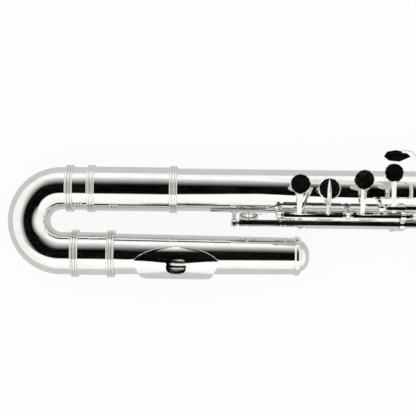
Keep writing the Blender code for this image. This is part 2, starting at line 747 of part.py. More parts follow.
def cup_mesh(x, angle, hole_radius):
    """A shallow cup over a tone hole, before its pad's recess is cut."""
    radius = hole_radius + CUP_OVERHANG
    low = CHIMNEY_RADIUS + CLEARANCE + PAD_STAND_OUT
    high = low + CUP_HEIGHT
    profile = [(0, high), (radius - 0.0006, high), (radius, high - 0.0006), (radius, low)]
    profile.append((0, low))
    return turned(profile, ring_place(x, angle, 0), CUP_SIDES)


def recess_mesh(x, angle, hole_radius):
    """The space in a cup that its pad fills."""
    radius = hole_radius + CUP_OVERHANG - CUP_WALL
    low = CHIMNEY_RADIUS - CLEARANCE
    roof = CHIMNEY_RADIUS + CLEARANCE + PAD_STAND_OUT + CUP_HEIGHT - CUP_TOP_THICKNESS
    profile = [(0, roof), (radius, roof), (radius, low), (0, low)]
    return turned(profile, ring_place(x, angle, 0), CUP_SIDES)


def pad_mesh(x, angle, hole_radius):
    """A felt pad that fills the cup and stands a little below its rim."""
    radius = hole_radius + CUP_OVERHANG - CUP_WALL - CLEARANCE
    low = CHIMNEY_RADIUS + CLEARANCE
    high = low + PAD_STAND_OUT + CUP_HEIGHT - CUP_TOP_THICKNESS - CLEARANCE
    profile = [(0, high), (radius, high), (radius, low), (0, low)]
    return turned(profile, ring_place(x, angle, 0), CUP_SIDES)


def touch_mesh(centre, tilt=0.0, radius=TOUCH_RADIUS):
    """A round finger plate, turned, tilted about X."""
    half = TOUCH_THICKNESS / 2
    profile = [(0, half), (radius - 0.0004, half), (radius, 0), (radius - 0.0006, -half), (0, -half)]
    place = Matrix.Translation(centre) @ Matrix.Rotation(tilt, 4, "X")
    return turned(profile, place, CUP_SIDES)


def cup_spot(x, angle, out=0.0, aside=0.0):
    """A point on a cup's top, moved out along its axis or aside round the tube."""
    top = CHIMNEY_RADIUS + CLEARANCE + PAD_STAND_OUT + CUP_HEIGHT
    return ring_place(x, angle, top) @ Vector((0, aside, out))


def cup_arm(x, rod, angle, hole_radius, near=-1):
    """A pointed arm from the rod that runs over its cup to the far side."""
    radius = hole_radius + CUP_OVERHANG
    start = Vector((x, rod.y, rod.z))
    edge = cup_spot(x, angle, 0.0004, near * radius)
    middle = cup_spot(x, angle, 0.0004, 0)
    tip = cup_spot(x, angle, 0.0001, -near * (radius - 0.0012))
    away = (edge - start).normalized()
    return wire([start + away * 0.0004, edge, middle, tip], [0.0014, 0.0013, 0.0011, 0.0003])


def side_arm(x, rod, angle, hole_radius, near=-1):
    """A plain arm from the rod to the near rim of a cup."""
    radius = hole_radius + CUP_OVERHANG
    start = Vector((x, rod.y, rod.z))
    rim = cup_spot(x, angle, -CUP_HEIGHT / 2, near * (radius - 0.0003))
    return strut(start, rim, 0.0015, 0.0012)


def key_tube(rod, start_x, end_x):
    return bar_along_x(rod, start_x, end_x, KEY_TUBE_RADIUS)


def tube_bore(rod, start_x, end_x):
    return bar_along_x(rod, start_x - 0.002, end_x + 0.002, STEEL_RADIUS + CLEARANCE)


def make_key(name, rod, x, solids, bores, rest_turn, pads=()):
    """A key with its origin on its rod, turned from closed to how it stands at rest."""
    origin = Vector((x, rod.y, rod.z))
    recesses = [recess_mesh(*pad) for pad in pads]
    item = as_object(name, fused(solids, [*bores, *recesses]), SILVER, origin)
    item.rotation_euler.x = rest_turn
    for number, pad in enumerate(pads):
        label = "_pad" if number == 0 else "_second_pad"
        as_object(name.replace("_key", label), pad_mesh(*pad), FELT, origin, item)
    return item


def build_c_sharp_key():
    start = MAIN_POSTS_X[0] + POST_BALL_RADIUS + END_PLAY
    end = MAIN_POSTS_X[1] - POST_BALL_RADIUS - END_PLAY
    touch_x = 0.1503
    touch = Vector((touch_x, 0.0053, 0.0196))
    near_edge = touch + Vector((0, -TOUCH_RADIUS + 0.0008, -0.0003))
    solids = [
        key_tube(MAIN_ROD, start, end),
        touch_mesh(touch),
        strut((touch_x, MAIN_ROD.y, MAIN_ROD.z), near_edge, 0.0015, 0.0022),
        wire(
            [(touch_x + 0.001, -0.0125, 0.0150), (0.1560, -0.0010, 0.0180), (0.1575, 0.0029, 0.0180)],
            [0.0008, 0.0008, 0.0010],
        ),
        cup_mesh(C_SHARP_X, KEY_LINE, SMALL_HOLE_RADIUS),
        cup_arm(C_SHARP_X, MAIN_ROD, KEY_LINE, SMALL_HOLE_RADIUS),
    ]
    pads = [(C_SHARP_X, KEY_LINE, SMALL_HOLE_RADIUS)]
    bores = [tube_bore(MAIN_ROD, start, end)]
    make_key("c_sharp_key", MAIN_ROD, touch_x, solids, bores, MAIN_OPENING, pads)
    steel = bar_along_x(MAIN_ROD, MAIN_POSTS_X[0] - 0.0020, MAIN_POSTS_X[1] + 0.0010, STEEL_RADIUS)
    as_object("c_sharp_steel", steel, STEEL)


B_FLAT_TUBE = (B_FLAT_X - 0.0070, B_FLAT_X + 0.0070)


def build_a_key():
    """Touch and cup sit on one steel, which passes the post between them."""
    gap = POST_BALL_RADIUS + END_PLAY
    posts = MAIN_POSTS_X
    steel_start = posts[1] + 0.0015
    touch_x = 0.1898
    touch = Vector((touch_x, 0.0085, 0.0200))
    near_edge = touch + Vector((0, -TOUCH_RADIUS + 0.0008, -0.0003))
    solids = [
        bar_along_x(MAIN_ROD, steel_start, posts[3] + 0.0020, STEEL_RADIUS),
        key_tube(MAIN_ROD, posts[1] + gap, posts[2] - gap),
        key_tube(MAIN_ROD, posts[2] + gap, B_FLAT_TUBE[0] - END_PLAY),
        key_tube(MAIN_ROD, B_FLAT_TUBE[1] + END_PLAY, posts[3] - gap),
        touch_mesh(touch, math.radians(4)),
        strut((touch_x, MAIN_ROD.y, MAIN_ROD.z), near_edge, 0.0015, 0.0021),
        cup_mesh(A_X, KEY_LINE, MAIN_HOLE_RADIUS),
        side_arm(A_X, MAIN_ROD, KEY_LINE, MAIN_HOLE_RADIUS),
    ]
    pads = [(A_X, KEY_LINE, MAIN_HOLE_RADIUS)]
    make_key("a_key", MAIN_ROD, touch_x, solids, [], MAIN_OPENING, pads)


def build_b_flat_key():
    start, end = B_FLAT_TUBE
    solids = [
        key_tube(MAIN_ROD, start, end),
        cup_mesh(B_FLAT_X, KEY_LINE, MAIN_HOLE_RADIUS),
        side_arm(B_FLAT_X, MAIN_ROD, KEY_LINE, MAIN_HOLE_RADIUS),
    ]
    pads = [(B_FLAT_X, KEY_LINE, MAIN_HOLE_RADIUS)]
    bores = [tube_bore(MAIN_ROD, start, end)]
    make_key("b_flat_key", MAIN_ROD, B_FLAT_X, solids, bores, MAIN_OPENING, pads)


LEVER_TUBE = (0.2150, 0.2975)


def build_g_key():
    """The ring-finger touch and both G cups share the upper steel."""
    gap = POST_BALL_RADIUS + END_PLAY
    touch_x = 0.2076
    touch = Vector((touch_x, 0.0114, 0.0230))
    near_edge = touch + Vector((0, -TOUCH_RADIUS + 0.0012, 0))
    solids = [
        bar_along_x(UPPER_ROD, UPPER_POSTS_X[0] - 0.0015, UPPER_POSTS_X[1] + 0.0015, STEEL_RADIUS),
        key_tube(UPPER_ROD, UPPER_POSTS_X[0] + gap, LEVER_TUBE[0] - END_PLAY),
        key_tube(UPPER_ROD, LEVER_TUBE[1] + END_PLAY, UPPER_POSTS_X[1] - gap),
        touch_mesh(touch, math.radians(-8), 0.0062),
        strut((touch_x, UPPER_ROD.y - 0.0030, UPPER_ROD.z + 0.0008), near_edge, 0.0014, 0.0018),
    ]
    for x in (G_UPPER_X, G_LOWER_X):
        top = cup_spot(x, KEY_LINE, -0.0002, -0.0040)
        solids.append(cup_mesh(x, KEY_LINE, MAIN_HOLE_RADIUS))
        solids.append(strut((x, UPPER_ROD.y, UPPER_ROD.z), top, 0.0014, 0.0016))
    pads = [(x, KEY_LINE, MAIN_HOLE_RADIUS) for x in (G_UPPER_X, G_LOWER_X)]
    make_key("g_key", UPPER_ROD, touch_x, solids, [], G_OPENING, pads)


G_SHARP_LINK_X = 0.2950


def build_g_sharp_lever():
    """The little-finger lever: a hook over the tube, and an arm that works the G sharp cup."""
    start, end = LEVER_TUBE
    stem_x = 0.2228
    hook = [(stem_x, UPPER_ROD.y, UPPER_ROD.z + 0.0006), (stem_x, -0.0020, 0.0272)]
    hook += [(stem_x, 0.0120, 0.0255), (stem_x - 0.0004, 0.0200, 0.0240)]
    hook += [(stem_x - 0.0040, 0.0245, 0.0232), (stem_x - 0.0100, 0.0252, 0.0228)]
    leaf = [(0.0085, 0.0), (0.0050, 0.0030), (-0.0010, 0.0040), (-0.0062, 0.0030), (-0.0082, 0.0)]
    leaf += [(-0.0050, -0.0026), (0.0015, -0.0032)]
    leaf_place = Matrix.Translation((0.2098, 0.0218, 0.0226)) @ Matrix.Rotation(-0.1, 4, "X")
    link = [(G_SHARP_LINK_X, UPPER_ROD.y, UPPER_ROD.z), (G_SHARP_LINK_X, 0.0060, 0.0212)]
    solids = [
        key_tube(UPPER_ROD, start, end),
        wire(hook, [0.0012, 0.0011, 0.0011, 0.0011, 0.0010, 0.0009]),
        prism(leaf, -0.0006, 0.0006, leaf_place),
        wire(link, [0.0013, 0.0010]),
    ]
    bores = [tube_bore(UPPER_ROD, start, end)]
    make_key("g_sharp_lever", UPPER_ROD, stem_x, solids, bores, SPRUNG_REST)


def build_g_sharp_key():
    """The G sharp cup stands closed on the far side and opens when its tail is pressed."""
    gap = POST_BALL_RADIUS + END_PLAY
    start = FAR_POSTS_X[0] + gap
    end = FAR_POSTS_X[1] - gap
    tail = [(G_SHARP_LINK_X, FAR_ROD.y, FAR_ROD.z), (G_SHARP_LINK_X, 0.0040, 0.0186)]
    solids = [
        key_tube(FAR_ROD, start, end),
        cup_mesh(G_LOWER_X, G_SHARP_ANGLE, MAIN_HOLE_RADIUS),
        cup_arm(G_LOWER_X, FAR_ROD, G_SHARP_ANGLE, MAIN_HOLE_RADIUS),
        wire(tail, [0.0013, 0.0008]),
    ]
    pads = [(G_LOWER_X, G_SHARP_ANGLE, MAIN_HOLE_RADIUS)]
    bores = [tube_bore(FAR_ROD, start, end)]
    make_key("g_sharp_key", FAR_ROD, G_LOWER_X, solids, bores, SPRUNG_REST, pads)
    steel = bar_along_x(FAR_ROD, FAR_POSTS_X[0] - 0.0015, FAR_POSTS_X[1] + 0.0015, STEEL_RADIUS)
    as_object("g_sharp_steel", steel, STEEL)


def build_right_hand_keys():
    """Four keys turn on one long steel between two posts."""
    gap = POST_BALL_RADIUS + END_PLAY
    start = MAIN_POSTS_X[4] + gap
    end = MAIN_POSTS_X[5] - gap
    names = ("f_sharp_key", "f_key", "e_key", "d_key")
    places = (F_SHARP_X, F_X, E_X, D_X)
    joins = [(left + right) / 2 for left, right in zip(places, places[1:])]
    starts = [start, *[join + END_PLAY / 2 for join in joins]]
    ends = [*[join - END_PLAY / 2 for join in joins], end]
    for name, x, low, high in zip(names, places, starts, ends):
        arm = cup_arm if name == "f_sharp_key" else side_arm
        solids = [
            key_tube(MAIN_ROD, low, high),
            cup_mesh(x, KEY_LINE, MAIN_HOLE_RADIUS),
            arm(x, MAIN_ROD, KEY_LINE, MAIN_HOLE_RADIUS),
        ]
        pads = [(x, KEY_LINE, MAIN_HOLE_RADIUS)]
        bores = [tube_bore(MAIN_ROD, low, high)]
        make_key(name, MAIN_ROD, x, solids, bores, MAIN_OPENING, pads)
    steel = bar_along_x(MAIN_ROD, MAIN_POSTS_X[4] - 0.0015, MAIN_POSTS_X[5] + 0.0015, STEEL_RADIUS)
    as_object("right_hand_steel", steel, STEEL)


D_TRILL_TUBE = (0.1395, (F_X + E_X) / 2 + 0.0040)


def trill_touch(x):
    """A lever from the lower rod that passes outside the main rod to a narrow touch."""
    points = [(x, LOWER_ROD.y, LOWER_ROD.z), (x, -0.0203, 0.0160), (x, -0.0130, 0.0212)]
    points += [(x, -0.0050, 0.0226), (x, 0.0060, 0.0222)]
    return wire(points, [0.0014, 0.0013, 0.0014, 0.0024, 0.0020])


def build_trill_keys():
    """The D sharp trill steel runs through the D trill tube."""
    gap = POST_BALL_RADIUS + END_PLAY
    d_start, d_end = D_TRILL_TUBE
    last_x = (E_X + D_X) / 2
    sharp_solids = [
        bar_along_x(LOWER_ROD, LOWER_POST_X - 0.0015, LOWER_LAST_POST_X + 0.0015, STEEL_RADIUS),
        key_tube(LOWER_ROD, LOWER_POST_X + gap, d_start - END_PLAY),
        key_tube(LOWER_ROD, d_end + END_PLAY, LOWER_LAST_POST_X - gap),
        cup_mesh(D_SHARP_TRILL_X, TRILL_ANGLE, TRILL_HOLE_RADIUS),
        cup_arm(D_SHARP_TRILL_X, LOWER_ROD, TRILL_ANGLE, TRILL_HOLE_RADIUS, near=1),
        trill_touch(last_x),
    ]
    pads = [(D_SHARP_TRILL_X, TRILL_ANGLE, TRILL_HOLE_RADIUS)]
    make_key("d_sharp_trill_key", LOWER_ROD, last_x, sharp_solids, [], SPRUNG_REST, pads)
    touch_x = (F_X + E_X) / 2
    d_solids = [
        key_tube(LOWER_ROD, d_start, d_end),
        cup_mesh(D_TRILL_X, TRILL_ANGLE, TRILL_HOLE_RADIUS),
        cup_arm(D_TRILL_X, LOWER_ROD, TRILL_ANGLE, TRILL_HOLE_RADIUS, near=1),
        trill_touch(touch_x),
    ]
    pads = [(D_TRILL_X, TRILL_ANGLE, TRILL_HOLE_RADIUS)]
    bores = [tube_bore(LOWER_ROD, d_start, d_end)]
    make_key("d_trill_key", LOWER_ROD, touch_x, d_solids, bores, SPRUNG_REST, pads)


THUMB_TUBES_MEET_X = 0.1850


def thumb_touch(x, length):
    """A paddle under the near side of the tube for the thumb."""
    angle = math.radians(-118)
    outline = oval(length, 0.0090, 12, 3)
    paddle = prism(outline, -0.0006, 0.0006, ring_place(x, angle, 0.0168))
    arm_end = ring_place(x, angle, 0.0168) @ Vector((0, 0.0030, 0))
    arm = strut((x, THUMB_ROD.y, THUMB_ROD.z), arm_end, 0.0014, 0.0012)
    return [paddle, arm]


def build_thumb_keys():
    gap = POST_BALL_RADIUS + END_PLAY
    end = BRIDGE_X - BRIDGE_THICKNESS / 2 - END_PLAY
    meet = THUMB_TUBES_MEET_X
    lip = cup_spot(THUMB_X, THUMB_ANGLE, 0.0003, 0.0)
    arm = [(0.2095, THUMB_ROD.y, THUMB_ROD.z), (0.2105, -0.0236, -0.0030)]
    arm += [(0.2165, -0.0232, -0.0048), (lip.x - 0.0040, lip.y - 0.0006, lip.z), (lip.x + 0.0040, lip.y, lip.z)]
    solids = [
        key_tube(THUMB_ROD, meet + END_PLAY, end),
        *thumb_touch(0.1955, 0.0150),
        wire(arm, [0.0013, 0.0013, 0.0013, 0.0012, 0.0004]),
        cup_mesh(THUMB_X, THUMB_ANGLE, THUMB_HOLE_RADIUS),
    ]
    pads = [(THUMB_X, THUMB_ANGLE, THUMB_HOLE_RADIUS)]
    bores = [tube_bore(THUMB_ROD, meet, end)]
    make_key("thumb_b_key", THUMB_ROD, 0.1955, solids, bores, -THUMB_OPENING, pads)
    start = THUMB_POST_X + gap
    lever = [key_tube(THUMB_ROD, start, meet), *thumb_touch(0.1690, 0.0160)]
    bores = [tube_bore(THUMB_ROD, start, meet)]
    make_key("thumb_b_flat_lever", THUMB_ROD, 0.1690, lever, bores, -THUMB_OPENING)
    steel_end = BRIDGE_X + BRIDGE_THICKNESS / 2
    steel = bar_along_x(THUMB_ROD, THUMB_POST_X - 0.0015, steel_end, STEEL_RADIUS)
    as_object("thumb_steel", steel, STEEL)


E_FLAT_TUBE_END = 0.5395
LOW_C_TOUCH_X = 0.5455
LOW_C_SHARP_TUBE = (0.5500, 0.5850)
LOW_C_SHARP_TOUCH_X = 0.5585
ROLLER_RADIUS = 0.0018
ROLLER_LENGTH = 0.0072
ROLLER_AXLE_RADIUS = 0.0005
ROLLER_Y = -0.0020
ROLLER_Z = 0.0215


def roller_fork(x):
    """Two arms from the rod that hold the roller's axle between them."""
    half = ROLLER_LENGTH / 2 + END_PLAY + 0.0010
    solids = []
    for side in (-1, 1):
        start = (x + side * 0.0010, MAIN_ROD.y, MAIN_ROD.z)
        elbow = (x + side * half, ROLLER_Y - 0.0060, ROLLER_Z - 0.0010)
        solids.append(wire([start, elbow, (x + side * half, ROLLER_Y, ROLLER_Z)], [0.0010, 0.0008, 0.0009]))
    axle = Vector((0, ROLLER_Y, ROLLER_Z))
    solids.append(bar_along_x(axle, x - half, x + half, ROLLER_AXLE_RADIUS, 6))
    return solids


def build_roller(name, x, key):
    half = ROLLER_LENGTH / 2
    bore = ROLLER_AXLE_RADIUS + CLEARANCE
    outer = [(ROLLER_RADIUS, x - half), (ROLLER_RADIUS, x + half)]
    profile = [*reversed(outer), (bore, x - half), (bore, x + half)]
    mesh = turned(profile, along_x(ROLLER_Y, ROLLER_Z), 12, ring=True)
    key_origin = Vector((key.location.x, MAIN_ROD.y, MAIN_ROD.z))
    as_object(name, mesh, STEEL, Vector((x, ROLLER_Y, ROLLER_Z)), key)
    bpy.data.objects[name].location = Vector((x, ROLLER_Y, ROLLER_Z)) - key_origin


def build_foot_keys():
    gap = POST_BALL_RADIUS + END_PLAY
    start = FOOT_POSTS_X[0] + gap
    end = FOOT_POSTS_X[1] - gap
    low, high = LOW_C_SHARP_TUBE
    flat_end = E_FLAT_TUBE_END
    near_touch = Matrix.Translation((0.5300, -0.0262, 0.0150)) @ Matrix.Rotation(0.25, 4, "X")
    flat_solids = [
        key_tube(MAIN_ROD, start, flat_end),
        cup_mesh(E_FLAT_X, KEY_LINE, MAIN_HOLE_RADIUS),
        cup_arm(E_FLAT_X, MAIN_ROD, KEY_LINE, MAIN_HOLE_RADIUS),
        prism(oval(0.0200, 0.0085, 16, 2.8), -0.0006, 0.0006, near_touch),
        strut((0.5300, MAIN_ROD.y, MAIN_ROD.z), (0.5300, -0.0235, 0.0144), 0.0014, 0.0013),
    ]
    pads = [(E_FLAT_X, KEY_LINE, MAIN_HOLE_RADIUS)]
    bores = [tube_bore(MAIN_ROD, start, flat_end)]
    make_key("e_flat_key", MAIN_ROD, E_FLAT_X, flat_solids, bores, SPRUNG_REST, pads)
    sharp_solids = [
        key_tube(MAIN_ROD, low, high),
        cup_mesh(LOW_C_SHARP_X, KEY_LINE, MAIN_HOLE_RADIUS),
        cup_arm(LOW_C_SHARP_X, MAIN_ROD, KEY_LINE, MAIN_HOLE_RADIUS),
        *roller_fork(LOW_C_SHARP_TOUCH_X),
    ]
    pads = [(LOW_C_SHARP_X, KEY_LINE, MAIN_HOLE_RADIUS)]
    bores = [tube_bore(MAIN_ROD, low, high)]
    sharp = make_key("low_c_sharp_key", MAIN_ROD, LOW_C_SHARP_X, sharp_solids, bores, MAIN_OPENING, pads)
    build_roller("low_c_sharp_roller", LOW_C_SHARP_TOUCH_X, sharp)
    c_solids = [
        bar_along_x(MAIN_ROD, FOOT_POSTS_X[0] - 0.0015, FOOT_POSTS_X[1] + 0.0015, STEEL_RADIUS),
        key_tube(MAIN_ROD, flat_end + END_PLAY, low - END_PLAY),
        key_tube(MAIN_ROD, high + END_PLAY, end),
        cup_mesh(LOW_C_X, KEY_LINE, MAIN_HOLE_RADIUS),
        cup_arm(LOW_C_X, MAIN_ROD, KEY_LINE, MAIN_HOLE_RADIUS),
        *roller_fork(LOW_C_TOUCH_X),
    ]
    pads = [(LOW_C_X, KEY_LINE, MAIN_HOLE_RADIUS)]
    low_c = make_key("low_c_key", MAIN_ROD, LOW_C_X, c_solids, [], MAIN_OPENING, pads)
    build_roller("low_c_roller", LOW_C_TOUCH_X, low_c)


def build_springs():
    """Needle springs reach from the posts along the tube towards the keys."""
    runs = [
        ("trill_spring", LOWER_POST_X + 0.0031, 0.0146),
        ("c_sharp_spring", MAIN_POSTS_X[0] + 0.0018, 0.0120),
        ("a_spring", MAIN_POSTS_X[1] + 0.0018, 0.0120),
    ]
    turn = math.radians(-61)
    for name, x, length in runs:
        first = ring_place(x, turn, 0.0170).translation
        last = ring_place(x + length, turn, 0.0172).translation
        as_object(name, strut(first, last, 0.0003, 0.0002, 6), GOLD)


def stand_on_floor():
    """Move the flute so that its box is centred over the origin and stands on it."""
    bpy.context.view_layer.update()
    graph = bpy.context.evaluated_depsgraph_get()
    corners = []
    for item in parts.objects:
        if item.type == "MESH":
            shape = item.evaluated_get(graph).data
            corners += [item.matrix_world @ vertex.co for vertex in shape.vertices]
    low = [min(corner[axis] for corner in corners) for axis in range(3)]
    high = [max(corner[axis] for corner in corners) for axis in range(3)]
    flute_axis.location = (-(low[0] + high[0]) / 2, -(low[1] + high[1]) / 2, -low[2])


build_bend()
build_head_tenon()
build_socket()
build_embouchure_tube()
build_riser()
build_lip_plate()
build_crown()
build_stopper()
build_barrel()
build_body_tube()
build_foot_tube()
build_ribs()
build_bridge()
build_c_sharp_key()
build_a_key()
build_b_flat_key()
build_g_key()
build_g_sharp_lever()
build_g_sharp_key()
build_right_hand_keys()
build_trill_keys()
build_thumb_keys()
build_foot_keys()
build_springs()
stand_on_floor()
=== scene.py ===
import json
import math

import bmesh
import bpy
import numpy as np
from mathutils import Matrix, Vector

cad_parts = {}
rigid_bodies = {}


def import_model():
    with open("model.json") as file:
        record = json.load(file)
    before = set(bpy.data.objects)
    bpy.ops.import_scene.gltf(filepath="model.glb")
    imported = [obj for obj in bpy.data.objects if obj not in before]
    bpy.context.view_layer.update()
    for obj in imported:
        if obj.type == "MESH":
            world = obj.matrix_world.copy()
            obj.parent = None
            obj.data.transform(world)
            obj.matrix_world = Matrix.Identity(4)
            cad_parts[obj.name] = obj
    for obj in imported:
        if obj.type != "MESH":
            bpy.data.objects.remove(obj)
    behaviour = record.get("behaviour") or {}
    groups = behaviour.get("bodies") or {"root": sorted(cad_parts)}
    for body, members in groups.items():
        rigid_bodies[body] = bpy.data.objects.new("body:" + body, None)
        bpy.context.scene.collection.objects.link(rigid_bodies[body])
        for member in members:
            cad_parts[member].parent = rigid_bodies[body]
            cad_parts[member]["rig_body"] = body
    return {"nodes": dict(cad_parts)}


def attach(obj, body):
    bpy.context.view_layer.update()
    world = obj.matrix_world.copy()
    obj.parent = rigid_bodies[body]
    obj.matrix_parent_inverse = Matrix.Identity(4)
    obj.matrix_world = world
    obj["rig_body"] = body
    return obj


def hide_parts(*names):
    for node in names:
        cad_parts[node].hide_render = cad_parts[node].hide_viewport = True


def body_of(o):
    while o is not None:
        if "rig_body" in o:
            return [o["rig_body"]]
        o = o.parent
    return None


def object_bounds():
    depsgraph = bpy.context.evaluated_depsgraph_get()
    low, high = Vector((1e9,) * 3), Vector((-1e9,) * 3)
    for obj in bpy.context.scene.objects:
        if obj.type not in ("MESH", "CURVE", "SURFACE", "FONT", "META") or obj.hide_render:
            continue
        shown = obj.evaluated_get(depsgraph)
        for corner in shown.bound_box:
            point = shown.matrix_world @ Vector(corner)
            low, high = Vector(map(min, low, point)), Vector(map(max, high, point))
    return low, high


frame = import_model()
cad_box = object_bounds()
nodes = frame["nodes"]
scene = bpy.context.scene

# Camera.
# The photograph looks straight down on the flute, a third of the way along it. Places on the
# flute are measured from the centre of its U-bend, on the body tube's axis.
FLUTE = np.array((-0.3214, 0.0153, 0.0152))
PICTURE_WIDTH = 416
PIXELS_PER_METRE = 1567.0
SENSOR_WIDTH = 36.0
EYE = np.array((0.0932, -0.0115, 0.753))
ROLL = math.radians(0.72)
camera_data = bpy.data.cameras.new("camera")
camera_data.sensor_width = SENSOR_WIDTH
camera_data.lens = SENSOR_WIDTH * PIXELS_PER_METRE * EYE[2] / PICTURE_WIDTH
camera = bpy.data.objects.new("camera", camera_data)
camera.location = FLUTE + EYE
camera.rotation_euler = (0, 0, ROLL)
scene.collection.objects.link(camera)
scene.camera = camera
scene.view_settings.view_transform = "Standard"

# Floor.
# A white paper sheet lies under the flute. The camera sees it lit evenly, with a tenth of its
# real shading left for the shadow, and the silver mirrors it a little darker.
FLOOR_REACH = 3.0
FLOOR_DROP = 0.0002
FLOOR_CORNERS = ((-1, -1), (1, -1), (1, 1), (-1, 1))
SHARE_OF_SHADING = 0.1
MIRRORED_PAPER = 0.62
floor_mesh = bpy.data.meshes.new("floor")
floor_corners = [(x * FLOOR_REACH, y * FLOOR_REACH, 0) for x, y in FLOOR_CORNERS]
floor_mesh.from_pydata(floor_corners, [], [(0, 1, 2, 3)])
floor = bpy.data.objects.new("floor", floor_mesh)
floor.location = (0, 0, cad_box[0][2] - FLOOR_DROP)
scene.collection.objects.link(floor)
paper = bpy.data.materials.new("paper")
paper.use_nodes = True
paper_nodes = paper.node_tree.nodes
paper_links = paper.node_tree.links
paper_surface = paper_nodes["Principled BSDF"]
paper_surface.inputs["Base Color"].default_value = (0.88, 0.88, 0.88, 1)
paper_surface.inputs["Roughness"].default_value = 0.9
paper_rays = paper_nodes.new("ShaderNodeLightPath")
paper_bright = paper_nodes.new("ShaderNodeMapRange")
paper_bright.inputs["To Min"].default_value = 1.0
paper_bright.inputs["To Max"].default_value = MIRRORED_PAPER
paper_glow = paper_nodes.new("ShaderNodeEmission")
paper_glow.inputs["Color"].default_value = (1, 1, 1, 1)
paper_lit = paper_nodes.new("ShaderNodeMixShader")
paper_lit.inputs[0].default_value = SHARE_OF_SHADING
paper_seen = paper_nodes.new("ShaderNodeMath")
paper_seen.operation = "MAXIMUM"
paper_mix = paper_nodes.new("ShaderNodeMixShader")
paper_links.new(paper_rays.outputs["Is Glossy Ray"], paper_bright.inputs["Value"])
paper_links.new(paper_bright.outputs["Result"], paper_glow.inputs["Strength"])
paper_links.new(paper_glow.outputs[0], paper_lit.inputs[1])
paper_links.new(paper_surface.outputs[0], paper_lit.inputs[2])
paper_links.new(paper_rays.outputs["Is Camera Ray"], paper_seen.inputs[0])
paper_links.new(paper_rays.outputs["Is Glossy Ray"], paper_seen.inputs[1])
paper_links.new(paper_seen.outputs[0], paper_mix.inputs[0])
paper_links.new(paper_surface.outputs[0], paper_mix.inputs[1])
paper_links.new(paper_lit.outputs[0], paper_mix.inputs[2])
paper_links.new(paper_mix.outputs[0], paper_nodes["Material Output"].inputs["Surface"])
floor_mesh.materials.append(paper)

# Studio light.
# Soft white light comes from all round. What the silver mirrors are the boards round the table:
# bands along the flute, given by their lean in degrees from straight up towards the far side,
# and white walls past its two ends.
BANDS = (
    (-180, 0.60), (-95, 0.65), (-80, 0.90), (-45, 1.0), (-29, 1.0), (-25.5, 0.0), (20, 0.0),
    (27, 0.05), (50, 0.55), (66, 1.0), (95, 0.90), (120, 0.60), (180, 0.60),
)
WALL_START = 0.35
WALL_FULL = 0.72
WALL_GREY = 0.9
MIRRORED_STRENGTH = 1.15
world = bpy.data.worlds.new("studio")
world.use_nodes = True
scene.world = world
studio = world.node_tree.nodes
studio_links = world.node_tree.links
direction = studio.new("ShaderNodeTexCoord")
axes = studio.new("ShaderNodeSeparateXYZ")
lean = studio.new("ShaderNodeMath")
lean.operation = "ARCTAN2"
lean_share = studio.new("ShaderNodeMapRange")
lean_share.inputs["From Min"].default_value = -math.pi
lean_share.inputs["From Max"].default_value = math.pi
bands = studio.new("ShaderNodeValToRGB")
stops = bands.color_ramp.elements
while len(stops) < len(BANDS):
    stops.new(0.5)
for stop, (angle, grey) in zip(stops, BANDS):
    stop.position = (angle + 180) / 360
    stop.color = (grey, grey, grey, 1)
endways = studio.new("ShaderNodeMath")
endways.operation = "ABSOLUTE"
wall_share = studio.new("ShaderNodeMapRange")
wall_share.inputs["From Min"].default_value = WALL_START
wall_share.inputs["From Max"].default_value = WALL_FULL
boards = studio.new("ShaderNodeMixRGB")
boards.inputs["Color2"].default_value = (WALL_GREY, WALL_GREY, WALL_GREY, 1)
mirrored = studio["Background"]
mirrored.inputs["Strength"].default_value = MIRRORED_STRENGTH
even = studio.new("ShaderNodeBackground")
even.inputs["Color"].default_value = (1, 1, 1, 1)
even.inputs["Strength"].default_value = 1.0
studio_rays = studio.new("ShaderNodeLightPath")
studio_mix = studio.new("ShaderNodeMixShader")
studio_links.new(direction.outputs["Generated"], axes.inputs[0])
studio_links.new(axes.outputs["Y"], lean.inputs[0])
studio_links.new(axes.outputs["Z"], lean.inputs[1])
studio_links.new(lean.outputs[0], lean_share.inputs["Value"])
studio_links.new(lean_share.outputs["Result"], bands.inputs["Fac"])
studio_links.new(axes.outputs["X"], endways.inputs[0])
studio_links.new(endways.outputs[0], wall_share.inputs["Value"])
studio_links.new(wall_share.outputs["Result"], boards.inputs["Fac"])
studio_links.new(bands.outputs["Color"], boards.inputs["Color1"])
studio_links.new(boards.outputs["Color"], mirrored.inputs["Color"])
studio_links.new(studio_rays.outputs["Is Glossy Ray"], studio_mix.inputs[0])
studio_links.new(even.outputs[0], studio_mix.inputs[1])
studio_links.new(mirrored.outputs[0], studio_mix.inputs[2])
studio_links.new(studio_mix.outputs[0], studio["World Output"].inputs["Surface"])

# Barrel.
# A silver sleeve that joins the head to the body. Near each end it has a soldered ring, rolled
# with three beads side by side. The plate is buffed to a mirror, and handling has left faint
# smears and warm spots of tarnish in it.
BARREL_START = 0.0167
BARREL_END = 0.0737
BARREL_RADIUS = 0.01405
BARREL_BORE_RADIUS = 0.0134
FIRST_BARREL_RING = 0.0189
SECOND_BARREL_RING = 0.0711
RING_RADIUS = 0.01514
RING_WIDTH = 0.0050
RING_BEADS = 3
RING_EDGE_SHARE = 0.35
SOLDER_DEPTH = 0.00025
TURNED_SIDES = 96
NEW_CREASE = math.radians(50)


